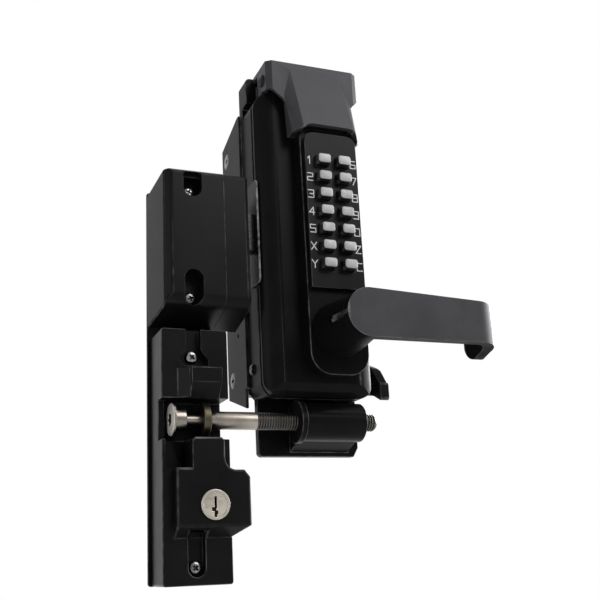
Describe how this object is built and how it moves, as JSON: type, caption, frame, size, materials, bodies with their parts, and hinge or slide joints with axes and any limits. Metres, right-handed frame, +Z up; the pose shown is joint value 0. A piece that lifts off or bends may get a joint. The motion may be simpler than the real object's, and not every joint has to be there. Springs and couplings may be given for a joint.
{
  "type": "push-button gate lock with key-locked striker keeper",
  "caption": "Surface-mounted push-button gate lock: keypad case with rain hood and lever handles, latch bolt, striker bolt, and a strike box with a key-locked keeper on the post.",
  "frame": {"origin": "on the stile's front face, on its centre line, at the height of the latch bolt", "axes": "+X along the gate away from the post, +Y into the gate, +Z up"},
  "size_m": [0.2365, 0.204, 0.3965],
  "materials": {
    "case_black": "satin",
    "plate_black": "satin",
    "charcoal": "satin",
    "seal_rubber": "matte",
    "button_satin": "satin",
    "steel": "satin",
    "faceplate_steel": "glossy",
    "striker_steel": "satin",
    "washer_bronze": "satin",
    "cylinder_nickel": "satin",
    "screw_steel": "satin"
  },
  "bodies": {
    "lock": {"mounting_base": "case_black", "rear_case": "case_black", "case_seal": "seal_rubber", "front_case": "case_black", "rain_hood": "charcoal", "keypad_body": "case_black", "keypad_plate": "plate_black", "button_chamber": "steel", "latch_guide": "steel", "return_spring": "steel", "latch_faceplate": "faceplate_steel", "inside_rose": "case_black", "post_plate": "case_black", "strike_box": "case_black", "strike_mouth": "case_black", "keeper_body": "case_black", "key_cover": "case_black", "cylinder_body": "cylinder_nickel", "post_screws": "screw_steel", "flange_screws": "screw_steel", "case_screws": "screw_steel", "hood_screws": "charcoal", "case_bolts": "screw_steel", "through_bolts": "screw_steel"},
    "button_1": {"button_1": "button_satin"},
    "button_2": {"button_2": "button_satin"},
    "button_3": {"button_3": "button_satin"},
    "button_4": {"button_4": "button_satin"},
    "button_5": {"button_5": "button_satin"},
    "button_6": {"button_6": "button_satin"},
    "button_7": {"button_7": "button_satin"},
    "button_8": {"button_8": "button_satin"},
    "button_9": {"button_9": "button_satin"},
    "button_10": {"button_10": "button_satin"},
    "button_11": {"button_11": "button_satin"},
    "button_12": {"button_12": "button_satin"},
    "button_13": {"button_13": "button_satin"},
    "button_14": {"button_14": "button_satin"},
    "handles": {"lever_handle": "charcoal", "lever_grub_screw": "steel", "spindle": "steel", "follower": "steel", "inside_lever": "charcoal", "inside_grub_screw": "steel"},
    "draw_bar": {"draw_bar": "steel"},
    "latch_bolt": {"latch_bolt": "steel"},
    "key": {"key_plug": "cylinder_nickel", "lock_cam": "steel"},
    "lock_slide": {"lock_slide": "steel"},
    "striker_washer": {"striker_washer": "washer_bronze"},
    "striker_bolt": {"striker_bolt": "striker_steel"}
  },
  "joints": [
    {"name": "press_1", "type": "slide", "parent": "lock", "child": "button_1", "axis": [0, 1, 0], "range_m": [0, 0.0025], "stiffness_N_per_m": 400, "springref_m": -0.0005},
    {"name": "press_2", "type": "slide", "parent": "lock", "child": "button_2", "axis": [0, 1, 0], "range_m": [0, 0.0025], "stiffness_N_per_m": 400, "springref_m": -0.0005},
    {"name": "press_3", "type": "slide", "parent": "lock", "child": "button_3", "axis": [0, 1, 0], "range_m": [0, 0.0025], "stiffness_N_per_m": 400, "springref_m": -0.0005},
    {"name": "press_4", "type": "slide", "parent": "lock", "child": "button_4", "axis": [0, 1, 0], "range_m": [0, 0.0025], "stiffness_N_per_m": 400, "springref_m": -0.0005},
    {"name": "press_5", "type": "slide", "parent": "lock", "child": "button_5", "axis": [0, 1, 0], "range_m": [0, 0.0025], "stiffness_N_per_m": 400, "springref_m": -0.0005},
    {"name": "press_6", "type": "slide", "parent": "lock", "child": "button_6", "axis": [0, 1, 0], "range_m": [0, 0.0025], "stiffness_N_per_m": 400, "springref_m": -0.0005},
    {"name": "press_7", "type": "slide", "parent": "lock", "child": "button_7", "axis": [0, 1, 0], "range_m": [0, 0.0025], "stiffness_N_per_m": 400, "springref_m": -0.0005},
    {"name": "press_8", "type": "slide", "parent": "lock", "child": "button_8", "axis": [0, 1, 0], "range_m": [0, 0.0025], "stiffness_N_per_m": 400, "springref_m": -0.0005},
    {"name": "press_9", "type": "slide", "parent": "lock", "child": "button_9", "axis": [0, 1, 0], "range_m": [0, 0.0025], "stiffness_N_per_m": 400, "springref_m": -0.0005},
    {"name": "press_10", "type": "slide", "parent": "lock", "child": "button_10", "axis": [0, 1, 0], "range_m": [0, 0.0025], "stiffness_N_per_m": 400, "springref_m": -0.0005},
    {"name": "press_11", "type": "slide", "parent": "lock", "child": "button_11", "axis": [0, 1, 0], "range_m": [0, 0.0025], "stiffness_N_per_m": 400, "springref_m": -0.0005},
    {"name": "press_12", "type": "slide", "parent": "lock", "child": "button_12", "axis": [0, 1, 0], "range_m": [0, 0.0025], "stiffness_N_per_m": 400, "springref_m": -0.0005},
    {"name": "press_13", "type": "slide", "parent": "lock", "child": "button_13", "axis": [0, 1, 0], "range_m": [0, 0.0025], "stiffness_N_per_m": 400, "springref_m": -0.0005},
    {"name": "press_14", "type": "slide", "parent": "lock", "child": "button_14", "axis": [0, 1, 0], "range_m": [0, 0.0025], "stiffness_N_per_m": 400, "springref_m": -0.0005},
    {"name": "lever_turn", "type": "hinge", "parent": "lock", "child": "handles", "pos_m": [0.0285, 0, -0.081], "axis": [0, 1, 0], "range_deg": [0, 60], "stiffness_Nm_per_rad": 1.5, "springref_deg": -34.38},
    {"name": "bar_lift", "type": "slide", "parent": "lock", "child": "draw_bar", "axis": [0, 0, 1], "range_m": [0, 0.015], "deforming": ["return_spring"]},
    {"name": "latch_draw", "type": "slide", "parent": "lock", "child": "latch_bolt", "axis": [1, 0, 0], "range_m": [0, 0.017]},
    {"name": "key_turn", "type": "hinge", "parent": "lock", "child": "key", "pos_m": [-0.0677, 0, -0.205], "axis": [0, 1, 0], "range_deg": [0, 90]},
    {"name": "slide_lift", "type": "slide", "parent": "lock", "child": "lock_slide", "axis": [0, 0, 1], "range_m": [0, 0.021]},
    {"name": "striker_feed", "type": "slide", "parent": "lock", "child": "striker_washer", "axis": [1, 0, 0], "range_m": [-0.002, 0.002]},
    {"name": "striker_turn", "type": "hinge", "parent": "striker_washer", "child": "striker_bolt", "pos_m": [0, -0.03, -0.1455], "axis": [1, 0, 0], "range_deg": [-360, 360]}
  ],
  "couplings": [
    {"joint": "bar_lift", "follows": "lever_turn", "m_per_rad": 0.014324},
    {"joint": "latch_draw", "follows": "lever_turn", "m_per_rad": 0.016234},
    {"joint": "slide_lift", "follows": "key_turn", "m_per_rad": 0.013369},
    {"joint": "striker_turn", "follows": "striker_feed", "rad_per_m": 3141.6}
  ]
}
